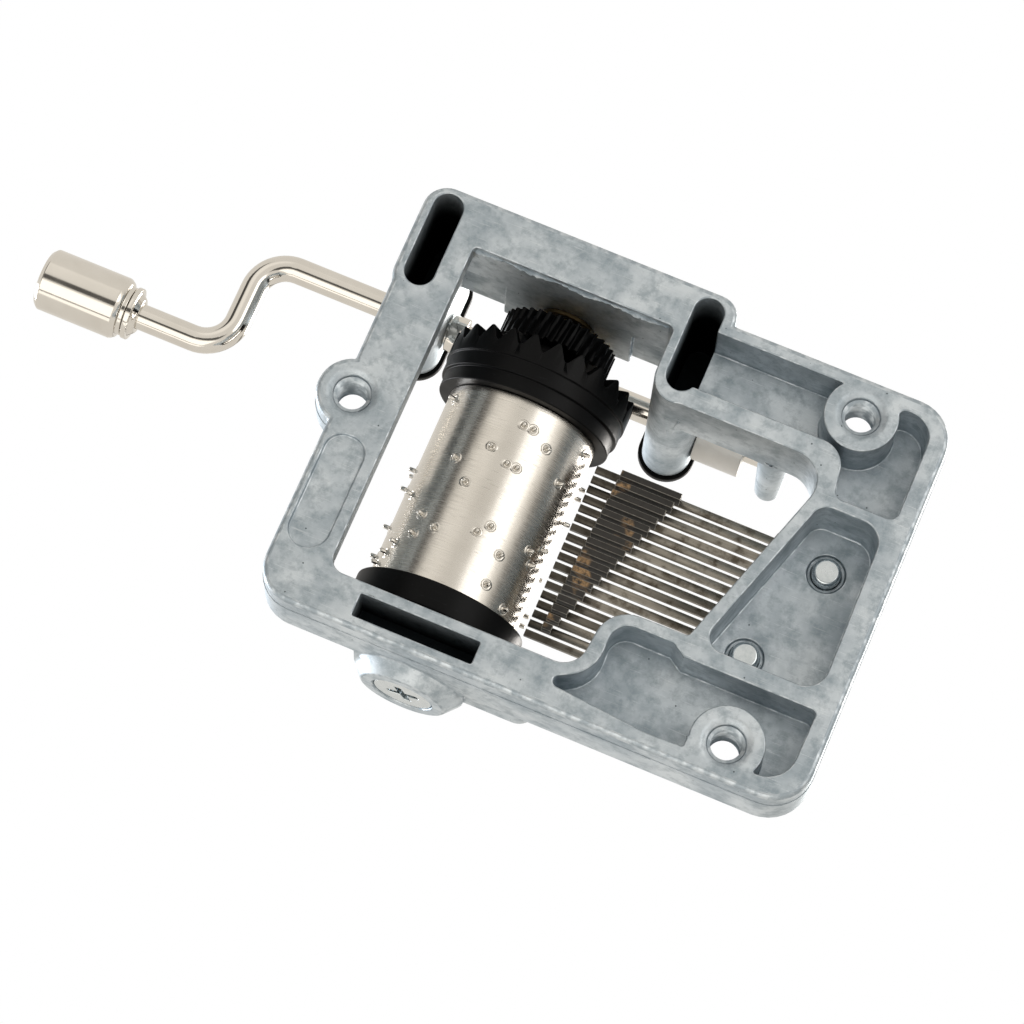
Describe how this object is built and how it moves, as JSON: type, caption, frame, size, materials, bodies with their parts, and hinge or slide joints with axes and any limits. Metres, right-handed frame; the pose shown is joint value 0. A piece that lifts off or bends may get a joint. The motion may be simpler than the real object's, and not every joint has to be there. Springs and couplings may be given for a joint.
{
  "type": "cylinder music movement",
  "caption": "Hand-cranked cylinder music movement with a die-cast bed, pinned cylinder, tuned steel comb, worm drive and bent crank with a turning knob.",
  "frame": {"origin": "middle of the lug's tapped hole, at the start of its thread by the mounting face", "axes": "+X along the crank shaft away from the crank, +Y along the cylinder towards its free end, +Z out of the mounting face towards the mechanism"},
  "size_m": [0.0816, 0.0423, 0.0209],
  "materials": {
    "zinc": "satin die-cast zinc",
    "black_cap": "satin black acetal",
    "brass": "turned brass",
    "bright_steel": "bright zinc-plated steel",
    "comb_steel": "hardened and ground spring steel",
    "lead": "dark soldered lead",
    "nickel": "bright nickel plate",
    "black_acetal": "satin black acetal",
    "natural_nylon": "natural nylon"
  },
  "bodies": {
    "base": {"bed": "zinc", "shaft_cap_left": "black_cap", "shaft_cap_right": "black_cap", "arbor_bush": "brass", "pivot_screw": "bright_steel", "comb": "comb_steel", "tuning_weights": "lead", "comb_screws": "bright_steel", "comb_washers": "bright_steel"},
    "cylinder": {"pinned_sleeve": "nickel", "crown_ring": "black_acetal", "worm_wheel": "black_acetal", "end_disc": "black_acetal", "arbor": "bright_steel", "arbor_washer": "brass"},
    "crank": {"crank_rod": "nickel", "drive_worm": "brass", "worm_collar": "nickel", "shaft_retainer": "natural_nylon", "knob_washer": "nickel"},
    "knob": {"crank_knob": "nickel"}
  },
  "joints": [
    {"name": "crank_spin", "type": "hinge", "parent": "base", "child": "crank", "pos_m": [0, -0.0139, 0.016], "axis": [1, 0, 0], "continuous": true},
    {"name": "cylinder_spin", "type": "hinge", "parent": "base", "child": "cylinder", "pos_m": [0.0136, 0, 0.0092], "axis": [0, 1, 0], "continuous": true},
    {"name": "knob_spin", "type": "hinge", "parent": "crank", "child": "knob", "pos_m": [-0.0282, -0.0042, 0.016], "axis": [1, 0, 0], "continuous": true}
  ],
  "couplings": [
    {"joint": "crank_spin", "follows": "cylinder_spin", "ratio": -17}
  ]
}
